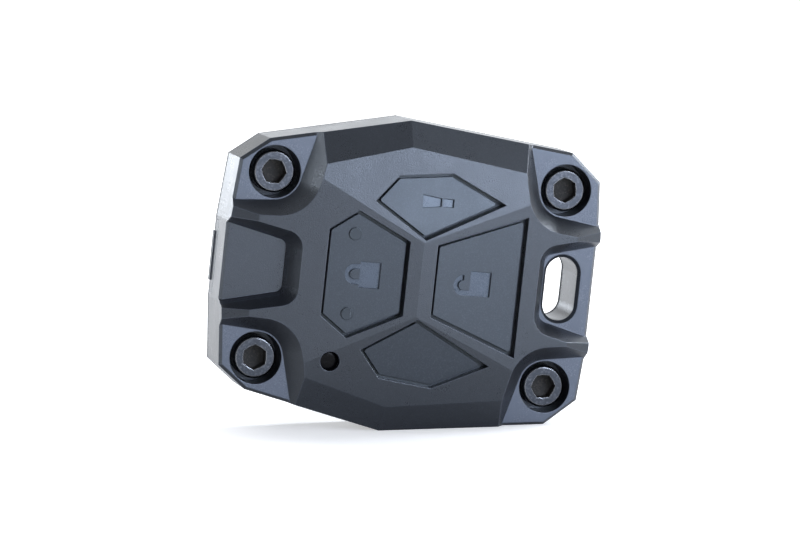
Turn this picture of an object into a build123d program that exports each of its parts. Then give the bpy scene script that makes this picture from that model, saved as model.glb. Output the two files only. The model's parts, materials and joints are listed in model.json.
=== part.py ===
from build123d import *
from math import atan2, cos, radians, sin, tan
import os

os.makedirs("parts", exist_ok=True)

# A car key fob that stands on one of its long edges, buttons facing -Y. Millimetres.
# On the fob itself, u runs along its length, v across it, and w out of its back towards the buttons.

# Outline, mirrored about the long axis. Each end has a flat middle, a slight slope to its corner, and a cut
# corner that ends at the shoulder.
LEFT_END_U = -31.2
LEFT_END_HALF = 6.5
LEFT_SLOPE_L = 0.9
LEFT_CUT_L = 4.6
LEFT_CUT_W = 3.55
LEFT_SHOULDER_HALF = 20.25
PEAK_U = -3.25
PEAK_HALF = 25.15
RIGHT_SHOULDER_HALF = 22.25
RIGHT_CUT_W = 4.35
RIGHT_CUT_L = 5.1
RIGHT_SLOPE_L = 0.7
RIGHT_END_U = 30.3
RIGHT_END_HALF = 9.0

# Heights, from the back face up: cover, cell, board, keypad mat, and the deck of the housing,
# whose outside is the floor of the notch. Pads and rims rise above that floor. The ridge follows from the
# stack of switch, key and button under it.
COVER_T = 1.2
CELL_LIFT = 0.9
CELL_H = 3.2
BOARD_LIFT = 0.6
BOARD_T = 1.0
MAT_T = 0.5
DECK_WALL = 1.8
SLOT_PAD_RISE = 0.6
PAD_RISE = 1.1
SIDE_RIM_RISE = 1.9
LEFT_RIM_RISE = 2.3
RIGHT_RIM_RISE = 2.1

# Front facets: a hipped roof with its short ridge between the left and right buttons
RIDGE_U = 0.1
RIDGE_HALF = 6.0
LEFT_FALL_ANGLE = 2.9
RIGHT_FALL_ANGLE = 2.5
SIDE_FALL_ANGLE = 5.7
SIDE_BEVEL_ANGLE = 26.0
LEFT_BEVEL_ANGLE = 22.0
RIGHT_BEVEL_ANGLE = 26.0
RIM_CHAMFER = 0.5

# Screws, placed from the shoulders of the outline, and the scooped corners, each with a flat pad round its
# screw. A scoop reaches along the outline from its screw, by one length on the long side and one on the end.
LEFT_SCREW_INSET_U = 1.2
LEFT_SCREW_INSET_V = 5.25
RIGHT_SCREW_INSET_U = 0.65
RIGHT_SCREW_INSET_V = 6.15
SCOOP_LAND = 0.2
SCOOP_ANGLE = 37.0
SCOOP_MARGIN = 0.3
SCOOP_FAR = 5.0
LEFT_SCOOP_SIDE_L = 6.4
LEFT_SCOOP_END_L = 5.0
RIGHT_SCOOP_SIDE_L = 6.55
RIGHT_SCOOP_END_L = 5.5

# Notch in the left end
NOTCH_MOUTH_HALF = 6.4
NOTCH_L = 9.95
NOTCH_INNER_HALF = 4.05
NOTCH_CORNER_R = 1.2
NOTCH_ANGLE = 23.0

# Through slot for the key ring in the right end, and the pad round it
SLOT_END_WALL = 2.7
SLOT_W = 5.3
SLOT_L = 10.4
SLOT_CHAMFER = 0.5
SLOT_LAND = 0.55
SLOT_PAD_MOUTH_HALF = 7.6
SLOT_PAD_MARGIN = 0.1
SLOT_PAD_CORNER_R = 1.5
SLOT_PAD_ANGLE = 26.0
SLOT_WALL = 1.7

# Number 8 socket head cap screws
HEAD_D = 6.86
HEAD_H = 4.17
HEAD_RECESS = 0.6
HEAD_EDGE = 0.35
SOCKET_AF = 3.57
SOCKET_DEPTH = 2.0
SHANK_D = 4.17
SHANK_L = 4.76
COUNTERBORE_D = 8.5
SHANK_CLEARANCE = 0.2
BOSS_WALL = 1.1
THREAD_CLEARANCE = 0.02
INSERT_D = 5.2
SHANK_SPARE = 0.07
COVER_BOSS_D = 8.2
BOSS_SIDES = 8

# Shell walls
SIDE_WALL = 1.8
FRONT_WALL = 2.0
BACK_CHAMFER = 0.4
COVER_BOSS_H = 2.2
LIP_GAP = 0.12
LIP_T = 1.0
LIP_H = 1.4

# Tongue of the back cover, let into the left end wall, with a ledge for a fingernail
TONGUE_HALF = 5.9
TONGUE_H = 3.3
TONGUE_T = 0.7
TONGUE_GAP = 0.06
LEDGE_HALF = 4.0
LEDGE_H = 1.1
LEDGE_PROUD = 0.25

# Seal between the shells
SEAL_W = 0.6
SEAL_H = 0.6
SEAL_GAP = 0.03

# Openings of the buttons. The spare opening is the mirror image of the panic one.
LOCK_NOTCH_GAP = 5.8
LOCK_END_HALF = 7.0
LOCK_END_L = 4.55
LOCK_WAIST_HALF = 10.3
LOCK_INNER_U = -2.1
LOCK_INNER_HALF = 6.0
UNLOCK_INNER_U = 2.45
UNLOCK_INNER_HALF = 5.85
UNLOCK_BOSS_GAP = 1.3
UNLOCK_END_HALF = 11.45
PANIC_LOCK_GAP = 2.5
PANIC_LEFT_V = 12.0
PANIC_END_L = 3.6
PANIC_TOP_LEFT_V = 16.35
PANIC_TOP_RIGHT_U = 4.05
PANIC_TOP_RIGHT_V = 17.4
PANIC_RIGHT_U = 13.2
PANIC_RIGHT_V = 13.1
PANIC_FOOT_U = 0.4
PANIC_FOOT_V = 6.4

# Buttons
BUTTON_GAP = 0.55
BUTTON_RECESS = 0.85
BUTTON_CORNER_R = 0.35
BUTTON_TRAVEL = 0.4
CAP_WALL = 1.0
CAP_HOLLOW = 1.0
FLANGE_LIP = 0.4
FLANGE_T = 0.9
STOP_GAP = 0.08
ICON_PROUD = 0.2
DOT_D = 2.0
DOT_DEPTH = 0.15
DOT_INSET = 0.1
DOT_HALF = 6.43

# Icons: padlock bodies, their bows, and the alert mark
LOCK_BODY_U = -7.95
LOCK_BODY_L = 3.35
LOCK_BODY_W = 4.2
LOCK_BOW_U = -10.4
UNLOCK_BODY_U = 10.4
UNLOCK_BODY_L = 3.5
UNLOCK_BODY_W = 4.0
UNLOCK_BOW_U = 7.6
BOW_R = 1.65
BOW_HOLE_R = 0.8
ALERT_U = -0.45
ALERT_V = 12.6
ALERT_L = 3.1
ALERT_WIDE = 2.1
ALERT_NARROW = 1.3
ALERT_GAP = 0.25
ALERT_DOT_L = 1.8

# Keypad mat and the key base under each button
MAT_WALL = 0.8
MAT_LAP = 1.2
MAT_GAP = 0.25
ROOM_GAP = 0.6
WEB_T = 0.6
WEB_GAP = 0.5
KEY_GAP = 0.3
KEY_LAP = 0.2
KEY_STEM_L = 0.42
KEY_STEM_D = 3.0
KEY_FIT = 0.05

# Indicator window and light pipe
WINDOW_U = -13.1
WINDOW_V = -14.25
WINDOW_D = 3.2
PIPE_FIT = 0.05
PIPE_RECESS = 1.3
PIPE_FLANGE = 0.5
PIPE_FLANGE_T = 0.7
PIPE_STEM_D = 2.0
PIPE_GAP = 0.1
LED_SIZE = 1.6
LED_H = 0.7

# Circuit board, switches and chips
BOARD_GAP = 0.3
SWITCH_SIZE = 4.5
SWITCH_H = 2.0
SWITCH_FLOOR = 0.4
LOCK_SWITCH_U = -8.6
UNLOCK_SWITCH_U = 10.6
PANIC_SWITCH_U = 1.3
PANIC_SWITCH_V = 12.9
PLUNGER_D = 2.2
PLUNGER_SPARE = 0.2
PLUNGER_GAP = 0.08
PLUNGER_INSIDE = 1.0
CHIP_U = 0.9
RADIO_SIZE = 5.0
RECEIVER_SIZE = 4.0
CHIP_H = 0.9
CHIP_V = 6.2
CRYSTAL_L = 3.2
CRYSTAL_W = 2.5
CRYSTAL_H = 0.8
PASSIVE_L = 1.6
PASSIVE_W = 0.8
PASSIVE_H = 0.45
PASSIVE_PITCH = 2.6

# Coin cell, cradle and contacts
CELL_D = 20.0
CELL_CAP_D = 17.6
CELL_CAP_H = 0.3
CRADLE_LIFT = 0.3
CRADLE_GAP = 0.15
CRADLE_T = 1.1
CRADLE_LIP = 1.0
CRADLE_OPEN = 14.0
CONTACT_W = 3.6
CONTACT_T = 0.25
CONTACT_GAP = 0.03
CONTACT_FOOT = 2.0
CONTACT_LEAF = 2.4
REST_L = 14.0

# Low frequency antenna under the board
ANTENNA_GAP = 1.6
ANTENNA_CELL_GAP = 1.35
ANTENNA_SIZE = 11.4
ANTENNA_H = 3.0
ANTENNA_FLANGE = 0.6
ANTENNA_CORE = 7.6
WINDING_SIZE = 10.8
WINDING_GAP = 0.05
WINDING_R = 1.5

# Ribs of the cover that carry the board
RIB_L = 4.0
RIB_T = 1.2
RIB_BOSS_GAP = 0.65
LEFT_RIB_V = 11.5
RIGHT_RIB_U = 10.0
RIGHT_RIB_V = 18.5

NEAR = 0.001

# Half of the outline, from the middle of the left end round to the right end
left_corner_u = LEFT_END_U + LEFT_SLOPE_L
left_shoulder_u = left_corner_u + LEFT_CUT_L
right_corner_u = RIGHT_END_U - RIGHT_SLOPE_L
right_shoulder_u = right_corner_u - RIGHT_CUT_L
half_outline = [
    (LEFT_END_U, LEFT_END_HALF),
    (left_corner_u, LEFT_SHOULDER_HALF - LEFT_CUT_W),
    (left_shoulder_u, LEFT_SHOULDER_HALF),
    (PEAK_U, PEAK_HALF),
    (right_shoulder_u, RIGHT_SHOULDER_HALF),
    (right_corner_u, RIGHT_SHOULDER_HALF - RIGHT_CUT_W),
    (RIGHT_END_U, RIGHT_END_HALF),
]

# Heights above the back face
cell_foot = COVER_T + CELL_LIFT
cell_top = cell_foot + CELL_H
board_back = cell_top + BOARD_LIFT
board_front = board_back + BOARD_T
deck = board_front + MAT_T
notch_h = deck + DECK_WALL
slot_pad_h = notch_h + SLOT_PAD_RISE
pad_h = notch_h + PAD_RISE
side_rim_h = notch_h + SIDE_RIM_RISE
left_rim_h = notch_h + LEFT_RIM_RISE
right_rim_h = notch_h + RIGHT_RIM_RISE
switch_top = board_front + SWITCH_H
plunger_top = switch_top + BUTTON_TRAVEL + PLUNGER_SPARE
key_foot = plunger_top + KEY_STEM_L
web_top = key_foot + KEY_LAP
web_foot = web_top - WEB_T
flange_foot = web_top + WEB_GAP + BUTTON_TRAVEL
flange_top = flange_foot + FLANGE_T
ceiling = flange_top + STOP_GAP
ridge_h = ceiling + FRONT_WALL + tan(radians(SIDE_FALL_ANGLE)) * RIDGE_HALF


def mirrored(points):
    """Closed polygon from the points of one half and their mirror images across the long axis."""
    return points + [(u, -v) for u, v in reversed(points)]


full_outline = mirrored(half_outline)

# The lower right edge of the outline lies level on the ground, which leans the fob by this angle.
lean = atan2(PEAK_HALF - RIGHT_SHOULDER_HALF, right_shoulder_u - PEAK_U)
along = Vector(cos(lean), 0, -sin(lean))
across = Vector(sin(lean), 0, cos(lean))
out = Vector(0, -1, 0)
reach = [u * cos(lean) + v * sin(lean) for u, v in full_outline]
back = Plane(
    origin=(-(min(reach) + max(reach)) / 2, ridge_h / 2, PEAK_U * sin(lean) + PEAK_HALF * cos(lean)),
    x_dir=along,
    z_dir=out,
)
# Plane through the long axis, square to the back face: its own axes are u and w.
profile = Plane(origin=back.origin, x_dir=along, z_dir=-across)


def level(w):
    """Plane parallel to the back face, w above it."""
    return back.offset(w)


def falling(u, v, w, away, fall):
    """Plane through a point of the front that falls by some degrees towards the direction away."""
    direction = Vector(*away).normalized()
    flat = along * direction.X + across * direction.Y
    point = back.from_local_coords(Vector(u, v, w))
    return Plane(origin=point, z_dir=flat * sin(radians(fall)) + out * cos(radians(fall)))


def half_width(u):
    """Half width of the outline at a place along its length."""
    for (u0, v0), (u1, v1) in zip(half_outline, half_outline[1:]):
        if u0 <= u <= u1:
            return v0 + (v1 - v0) * (u - u0) / (u1 - u0)
    raise ValueError("outside the outline")


def edges_at(part, w):
    """Edges of a part that lie wholly at one height above the back face."""
    return part.edges().filter_by(
        lambda edge: all(abs(back.to_local_coords(edge @ t).Z - w) < NEAR for t in (0, 0.5, 1))
    )


def rim_at(part, w):
    """Edges at one height that follow the outline."""
    rim = outline.sketch.wire()

    def follows(edge):
        middle = back.to_local_coords(edge @ 0.5)
        return rim.distance_to(Vector(middle.X, middle.Y, 0)) < NEAR

    return edges_at(part, w).filter_by(follows)


# Facets of the front: four of the hipped roof, then the bevel bands round them
left_facet = falling(RIDGE_U, 0, ridge_h, (-1, 0), LEFT_FALL_ANGLE)
right_facet = falling(RIDGE_U, 0, ridge_h, (1, 0), RIGHT_FALL_ANGLE)
upper_facet = falling(RIDGE_U, RIDGE_HALF, ridge_h, (0, 1), SIDE_FALL_ANGLE)
lower_facet = falling(RIDGE_U, -RIDGE_HALF, ridge_h, (0, -1), SIDE_FALL_ANGLE)
facets = [left_facet, right_facet, upper_facet, lower_facet]
facets.append(falling(LEFT_END_U, 0, left_rim_h, (-1, 0), LEFT_BEVEL_ANGLE))
facets.append(falling(RIGHT_END_U, 0, right_rim_h, (1, 0), RIGHT_BEVEL_ANGLE))
left_run = PEAK_U - left_shoulder_u
left_rise = PEAK_HALF - LEFT_SHOULDER_HALF
right_run = right_shoulder_u - PEAK_U
right_rise = PEAK_HALF - RIGHT_SHOULDER_HALF
for side in (1, -1):
    peak = (PEAK_U, side * PEAK_HALF, side_rim_h)
    facets.append(falling(*peak, (-left_rise, side * left_run), SIDE_BEVEL_ANGLE))
    facets.append(falling(*peak, (right_rise, side * right_run), SIDE_BEVEL_ANGLE))

# Heights round the screws
head_top = pad_h - HEAD_RECESS
seat = head_top - HEAD_H
boss_foot = COVER_T + COVER_BOSS_H
boss_r = COUNTERBORE_D / 2 + BOSS_WALL
insert_floor = seat - SHANK_L - SHANK_SPARE
window_h = ridge_h - tan(radians(SIDE_FALL_ANGLE)) * (abs(WINDOW_V) - RIDGE_HALF)

# Places along the long axis, from the right end inwards: slot, antenna, coin cell
slot_u = RIGHT_END_U - SLOT_END_WALL - SLOT_W / 2
slot_pad_inner_u = slot_u - SLOT_W / 2 - SLOT_LAND
slot_block_u = slot_u - SLOT_W / 2 - SLOT_WALL
antenna_u = slot_block_u - ANTENNA_GAP - ANTENNA_SIZE / 2
cell_r = CELL_D / 2
cradle_r = cell_r + CRADLE_GAP + CRADLE_T
cell_u = antenna_u - ANTENNA_SIZE / 2 - ANTENNA_CELL_GAP - cradle_r
notch_inner_u = LEFT_END_U + NOTCH_L

left_screw_u = left_shoulder_u + LEFT_SCREW_INSET_U
left_screw_v = LEFT_SHOULDER_HALF - LEFT_SCREW_INSET_V
right_screw_u = right_shoulder_u - RIGHT_SCREW_INSET_U
right_screw_v = RIGHT_SHOULDER_HALF - RIGHT_SCREW_INSET_V
screws = [
    (left_screw_u, left_screw_v),
    (left_screw_u, -left_screw_v),
    (right_screw_u, right_screw_v),
    (right_screw_u, -right_screw_v),
]
left_rib_u = left_screw_u + boss_r + RIB_BOSS_GAP + RIB_L / 2
ribs = [
    (left_rib_u, LEFT_RIB_V),
    (left_rib_u, -LEFT_RIB_V),
    (RIGHT_RIB_U, RIGHT_RIB_V),
    (RIGHT_RIB_U, -RIGHT_RIB_V),
]

# Openings of the four buttons, from the notch and the right bosses inwards
lock_end_u = notch_inner_u + LOCK_NOTCH_GAP
lock_waist_u = lock_end_u + LOCK_END_L
unlock_end_u = right_screw_u - boss_r - UNLOCK_BOSS_GAP
panic_left_u = lock_waist_u + PANIC_LOCK_GAP
lock_opening = mirrored(
    [(lock_end_u, LOCK_END_HALF), (lock_waist_u, LOCK_WAIST_HALF), (LOCK_INNER_U, LOCK_INNER_HALF)]
)
unlock_opening = mirrored([(UNLOCK_INNER_U, UNLOCK_INNER_HALF), (unlock_end_u, UNLOCK_END_HALF)])
panic_opening = [
    (panic_left_u, PANIC_LEFT_V),
    (panic_left_u + PANIC_END_L, PANIC_TOP_LEFT_V),
    (PANIC_TOP_RIGHT_U, PANIC_TOP_RIGHT_V),
    (PANIC_RIGHT_U, PANIC_RIGHT_V),
    (PANIC_FOOT_U, PANIC_FOOT_V),
]
spare_opening = [(u, -v) for u, v in panic_opening]
openings = [lock_opening, unlock_opening, panic_opening, spare_opening]

# Places of the switches under the buttons
lock_place = (LOCK_SWITCH_U, 0)
unlock_place = (UNLOCK_SWITCH_U, 0)
panic_place = (PANIC_SWITCH_U, PANIC_SWITCH_V)
spare_place = (PANIC_SWITCH_U, -PANIC_SWITCH_V)
places = [lock_place, unlock_place, panic_place, spare_place]

with BuildSketch() as outline:
    Polygon(*full_outline, align=None)

# Room inside the housing, kept off the block that holds the key ring slot
with BuildSketch() as room:
    add(outline.sketch)
    offset(amount=-SIDE_WALL, kind=Kind.INTERSECTION)
    with Locations((slot_block_u, 0)):
        Rectangle(
            RIGHT_END_U - slot_block_u,
            2 * SLOT_PAD_MOUTH_HALF + SLOT_WALL,
            align=(Align.MIN, Align.CENTER),
            mode=Mode.SUBTRACT,
        )

# Room of the lip that enters the housing
with BuildSketch() as lip_room:
    add(room.sketch)
    offset(amount=-LIP_GAP, kind=Kind.INTERSECTION)

with BuildSketch() as seal_inside:
    add(lip_room.sketch)
    offset(amount=SEAL_GAP, kind=Kind.INTERSECTION)

# Room under the buttons and the indicator window
with BuildSketch() as button_room:
    for opening in openings:
        Polygon(*opening, align=None)
    offset(amount=FLANGE_LIP + ROOM_GAP, kind=Kind.INTERSECTION)
    with Locations((WINDOW_U, WINDOW_V), (WINDOW_U, -WINDOW_V)):
        Rectangle(WINDOW_D + 2 * PIPE_FLANGE, WINDOW_D + 2 * PIPE_FLANGE)
    make_hull()

with BuildSketch() as slot:
    with Locations((slot_u, 0)):
        SlotOverall(SLOT_L, SLOT_W, rotation=90)

# Front housing
with BuildPart() as front_housing:
    with BuildSketch(level(COVER_T)):
        add(outline.sketch)
    extrude(amount=ridge_h - COVER_T)
    for facet in facets:
        split(bisect_by=facet, keep=Keep.BOTTOM)
    # Scooped corners, each a hull round the pad of its screw
    for u, v in screws:
        side = 1 if v > 0 else -1
        rim_u = u + LEFT_SCOOP_SIDE_L if u < 0 else u - RIGHT_SCOOP_SIDE_L
        end_u = LEFT_END_U - SCOOP_MARGIN if u < 0 else RIGHT_END_U + SCOOP_MARGIN
        far_u = LEFT_END_U - SCOOP_FAR if u < 0 else RIGHT_END_U + SCOOP_FAR
        end_v = left_screw_v - LEFT_SCOOP_END_L if u < 0 else right_screw_v - RIGHT_SCOOP_END_L
        with BuildSketch(level(pad_h)):
            with BuildLine():
                CenterArc((u, v), COUNTERBORE_D / 2 + SCOOP_LAND, 0, 360)
                Polyline(
                    (rim_u, side * half_width(rim_u)),
                    (far_u, side * (PEAK_HALF + SCOOP_FAR)),
                    (end_u, side * end_v),
                )
            make_hull()
        extrude(amount=ridge_h - pad_h, taper=-SCOOP_ANGLE, mode=Mode.SUBTRACT)
    # Notch in the left end
    with BuildSketch(level(notch_h)) as notch:
        Polygon(
            *mirrored([(LEFT_END_U - SCOOP_MARGIN, NOTCH_MOUTH_HALF), (notch_inner_u, NOTCH_INNER_HALF)]),
            align=None,
        )
        fillet(notch.vertices().group_by(Axis.X)[-1], NOTCH_CORNER_R)
    extrude(amount=ridge_h - notch_h, taper=-NOTCH_ANGLE, mode=Mode.SUBTRACT)
    # Pad round the key ring slot
    with BuildSketch(level(slot_pad_h)) as slot_pad:
        Polygon(
            *mirrored(
                [
                    (slot_pad_inner_u, SLOT_L / 2 + SLOT_PAD_MARGIN),
                    (RIGHT_END_U + SCOOP_MARGIN, SLOT_PAD_MOUTH_HALF),
                ]
            ),
            align=None,
        )
        fillet(slot_pad.vertices().group_by(Axis.X)[0], SLOT_PAD_CORNER_R)
    extrude(amount=ridge_h - slot_pad_h, taper=-SLOT_PAD_ANGLE, mode=Mode.SUBTRACT)
    rims = [edge for floor in (pad_h, notch_h, slot_pad_h) for edge in rim_at(front_housing, floor)]
    chamfer(rims, RIM_CHAMFER)
    # Key ring slot with its chamfered mouth
    with BuildSketch(level(COVER_T)):
        add(slot.sketch)
    extrude(amount=ridge_h, mode=Mode.SUBTRACT)
    with BuildSketch(level(slot_pad_h - SLOT_CHAMFER)):
        add(slot.sketch)
    extrude(amount=SLOT_CHAMFER, taper=-45, mode=Mode.SUBTRACT)
    # Rooms inside
    with BuildSketch(level(COVER_T)):
        add(room.sketch)
    extrude(amount=COVER_BOSS_H, mode=Mode.SUBTRACT)
    with BuildSketch(level(boss_foot)):
        add(room.sketch)
        with Locations(*screws):
            RegularPolygon(boss_r, BOSS_SIDES, major_radius=False, mode=Mode.SUBTRACT)
    extrude(amount=deck - boss_foot, mode=Mode.SUBTRACT)
    with BuildSketch(level(deck)):
        add(button_room.sketch)
    extrude(amount=ceiling - deck, mode=Mode.SUBTRACT)
    # Screw holes
    with BuildSketch(level(boss_foot)):
        with Locations(*screws):
            Circle(SHANK_D / 2 + SHANK_CLEARANCE / 2)
    extrude(amount=seat - boss_foot, mode=Mode.SUBTRACT)
    with BuildSketch(level(seat)):
        with Locations(*screws):
            Circle(COUNTERBORE_D / 2)
    extrude(amount=ridge_h - seat, mode=Mode.SUBTRACT)
    # Button openings and the indicator window
    with BuildSketch(level(ceiling)):
        for opening in openings:
            Polygon(*opening, align=None)
        with Locations((WINDOW_U, WINDOW_V)):
            Circle(WINDOW_D / 2)
    extrude(amount=ridge_h - ceiling, mode=Mode.SUBTRACT)
    # Rebates for the seal and for the tongue of the cover
    with BuildSketch(level(COVER_T)):
        add(room.sketch)
        offset(amount=SEAL_W, kind=Kind.INTERSECTION)
    extrude(amount=SEAL_H, mode=Mode.SUBTRACT)
    with BuildSketch(level(COVER_T)):
        with Locations((LEFT_END_U, 0)):
            Rectangle(2 * (TONGUE_T + TONGUE_GAP), 2 * (TONGUE_HALF + TONGUE_GAP))
    extrude(amount=TONGUE_H + TONGUE_GAP - COVER_T, mode=Mode.SUBTRACT)
front_housing.part.label = "front_housing"
export_step(front_housing.part, "parts/front_housing.step")

# Back cover
with BuildPart() as back_cover:
    with BuildSketch(level(0)):
        add(outline.sketch)
    extrude(amount=COVER_T)
    chamfer(edges_at(back_cover, 0), BACK_CHAMFER)
    # Lip that enters the housing
    with BuildSketch(level(COVER_T)):
        add(lip_room.sketch)
        offset(amount=-LIP_T, kind=Kind.INTERSECTION, mode=Mode.SUBTRACT)
    extrude(amount=LIP_H)
    # Bosses of the inserts
    with BuildSketch(level(COVER_T)):
        with Locations(*screws):
            RegularPolygon(COVER_BOSS_D / 2, BOSS_SIDES, major_radius=False)
        add(lip_room.sketch, mode=Mode.INTERSECT)
    extrude(amount=COVER_BOSS_H)
    with BuildSketch(level(insert_floor)):
        with Locations(*screws):
            Circle(INSERT_D / 2)
    extrude(amount=boss_foot - insert_floor, mode=Mode.SUBTRACT)
    # Ribs that carry the board
    with BuildSketch(level(COVER_T)):
        with Locations(*ribs):
            Rectangle(RIB_L, RIB_T)
    extrude(amount=board_back - COVER_T)
    # Crossed ribs that the coin cell rests on
    with BuildSketch(level(COVER_T)):
        with Locations((cell_u, 0)):
            Rectangle(REST_L, RIB_T)
            Rectangle(RIB_T, REST_L)
    extrude(amount=cell_foot - COVER_T)
    # Tongue and ledge at the left end
    with BuildSketch(level(BACK_CHAMFER)):
        with Locations((LEFT_END_U, 0)):
            Rectangle(TONGUE_T, 2 * TONGUE_HALF, align=(Align.MIN, Align.CENTER))
    extrude(amount=TONGUE_H - BACK_CHAMFER)
    with BuildSketch(level(BACK_CHAMFER)):
        with Locations((LEFT_END_U, 0)):
            Rectangle(LEDGE_PROUD, 2 * LEDGE_HALF, align=(Align.MAX, Align.CENTER))
    extrude(amount=LEDGE_H)
    # Key ring slot
    with BuildSketch(level(0)):
        add(slot.sketch)
    extrude(amount=COVER_T, mode=Mode.SUBTRACT)
back_cover.part.label = "back_cover"
export_step(back_cover.part, "parts/back_cover.step")

# Seal between housing and cover
with BuildPart() as cover_seal:
    with BuildSketch(level(COVER_T)):
        add(room.sketch)
        offset(amount=SEAL_W - SEAL_GAP, kind=Kind.INTERSECTION)
        add(seal_inside.sketch, mode=Mode.SUBTRACT)
    extrude(amount=SEAL_H - SEAL_GAP)
cover_seal.part.label = "cover_seal"
export_step(cover_seal.part, "parts/cover_seal.step")

# Socket head cap screws
with BuildPart() as cap_screws:
    with BuildSketch(level(seat)):
        with Locations(*screws):
            Circle(HEAD_D / 2)
    extrude(amount=HEAD_H)
    chamfer(edges_at(cap_screws, head_top), HEAD_EDGE)
    with BuildSketch(level(seat)):
        with Locations(*screws):
            Circle(SHANK_D / 2)
    extrude(amount=-SHANK_L)
    with BuildSketch(level(head_top)):
        with Locations(*screws):
            RegularPolygon(SOCKET_AF / 2, 6, major_radius=False)
    extrude(amount=-SOCKET_DEPTH, mode=Mode.SUBTRACT)
cap_screws.part.label = "cap_screws"
export_step(cap_screws.part, "parts/cap_screws.step")

# Threaded inserts
with BuildPart() as threaded_inserts:
    with BuildSketch(level(insert_floor)):
        with Locations(*screws):
            Circle(INSERT_D / 2)
            Circle(SHANK_D / 2 + THREAD_CLEARANCE, mode=Mode.SUBTRACT)
    extrude(amount=boss_foot - insert_floor)
threaded_inserts.part.label = "threaded_inserts"
export_step(threaded_inserts.part, "parts/threaded_inserts.step")

# Icons
with BuildSketch() as dots:
    with Locations((lock_waist_u - DOT_INSET, DOT_HALF), (lock_waist_u - DOT_INSET, -DOT_HALF)):
        Circle(DOT_D / 2)

# Closed padlock: a half ring whose two legs enter the body
with BuildSketch() as lock_icon:
    with Locations((LOCK_BOW_U, 0)):
        Circle(BOW_R)
        Rectangle(LOCK_BODY_U - LOCK_BOW_U, 2 * BOW_R, align=(Align.MIN, Align.CENTER))
        Circle(BOW_HOLE_R, mode=Mode.SUBTRACT)
        Rectangle(
            LOCK_BODY_U - LOCK_BOW_U,
            2 * BOW_HOLE_R,
            align=(Align.MIN, Align.CENTER),
            mode=Mode.SUBTRACT,
        )
    with Locations((LOCK_BODY_U, 0)):
        Rectangle(LOCK_BODY_L, LOCK_BODY_W)

# Open padlock: a half ring with one leg, flush with the side of the body
with BuildSketch() as unlock_icon:
    with Locations((UNLOCK_BOW_U, BOW_R - UNLOCK_BODY_W / 2)):
        Circle(BOW_R)
        Circle(BOW_HOLE_R, mode=Mode.SUBTRACT)
        Rectangle(BOW_R, 2 * BOW_R, align=(Align.MIN, Align.CENTER), mode=Mode.SUBTRACT)
    with Locations((UNLOCK_BOW_U, -UNLOCK_BODY_W / 2)):
        Rectangle(UNLOCK_BODY_U - UNLOCK_BOW_U, BOW_R - BOW_HOLE_R, align=Align.MIN)
    with Locations((UNLOCK_BODY_U, 0)):
        Rectangle(UNLOCK_BODY_L, UNLOCK_BODY_W)

# Alert mark: a stroke that narrows towards its square dot
alert_corners = [(ALERT_U, ALERT_WIDE / 2), (ALERT_U + ALERT_L, ALERT_NARROW / 2)]
with BuildSketch() as alert_icon:
    with Locations((0, ALERT_V)):
        Polygon(*mirrored(alert_corners), align=None)
    with Locations((ALERT_U + ALERT_L + ALERT_GAP, ALERT_V)):
        Rectangle(ALERT_DOT_L, ALERT_NARROW, align=(Align.MIN, Align.CENTER))


def cap(opening, facet, marks, icon):
    """Button cap with a flange below its opening: marks are sunk in its face, and an icon stands on it."""
    with BuildPart() as button:
        with BuildSketch(level(flange_top)) as face:
            Polygon(*opening, align=None)
            offset(amount=-BUTTON_GAP, kind=Kind.INTERSECTION)
            fillet(face.vertices(), BUTTON_CORNER_R)
        extrude(amount=ridge_h - flange_top)
        split(bisect_by=facet.offset(-BUTTON_RECESS - DOT_DEPTH), keep=Keep.BOTTOM)
        with BuildSketch(level(flange_top)):
            add(face.sketch_local)
            if marks:
                add(marks.sketch, mode=Mode.SUBTRACT)
        extrude(amount=ridge_h - flange_top)
        split(bisect_by=facet.offset(-BUTTON_RECESS), keep=Keep.BOTTOM)
        if icon:
            with BuildSketch(level(flange_top)):
                add(icon.sketch)
            extrude(amount=ridge_h - flange_top)
            split(bisect_by=facet.offset(ICON_PROUD - BUTTON_RECESS), keep=Keep.BOTTOM)
        with BuildSketch(level(flange_foot)):
            Polygon(*opening, align=None)
            offset(amount=FLANGE_LIP, kind=Kind.INTERSECTION)
        extrude(amount=FLANGE_T)
        with BuildSketch(level(flange_foot)):
            Polygon(*opening, align=None)
            offset(amount=-BUTTON_GAP - CAP_WALL, kind=Kind.INTERSECTION)
        extrude(amount=CAP_HOLLOW, mode=Mode.SUBTRACT)
    return button.part


lock_button = cap(lock_opening, left_facet, dots, lock_icon)
lock_button.label = "lock_button"
export_step(lock_button, "parts/lock_button.step")

unlock_button = cap(unlock_opening, right_facet, None, unlock_icon)
unlock_button.label = "unlock_button"
export_step(unlock_button, "parts/unlock_button.step")

panic_button = cap(panic_opening, upper_facet, None, alert_icon)
panic_button.label = "panic_button"
export_step(panic_button, "parts/panic_button.step")

spare_button = cap(spare_opening, lower_facet, None, None)
spare_button.label = "spare_button"
export_step(spare_button, "parts/spare_button.step")


def key_base(opening, place):
    """Silicone base that fills a button cap and reaches down to the plunger of its switch."""
    with BuildPart() as base:
        with BuildSketch(level(key_foot)):
            Polygon(*opening, align=None)
            offset(amount=-BUTTON_GAP, kind=Kind.INTERSECTION)
        extrude(amount=flange_foot - key_foot)
        with BuildSketch(level(flange_foot)):
            Polygon(*opening, align=None)
            offset(amount=-BUTTON_GAP - CAP_WALL - KEY_FIT, kind=Kind.INTERSECTION)
        extrude(amount=CAP_HOLLOW)
        with BuildSketch(level(plunger_top)):
            with Locations(place):
                Circle(KEY_STEM_D / 2)
        extrude(amount=key_foot - plunger_top)
    return base.part


lock_key_base = key_base(lock_opening, lock_place)
lock_key_base.label = "lock_key_base"
export_step(lock_key_base, "parts/lock_key_base.step")

unlock_key_base = key_base(unlock_opening, unlock_place)
unlock_key_base.label = "unlock_key_base"
export_step(unlock_key_base, "parts/unlock_key_base.step")

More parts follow.
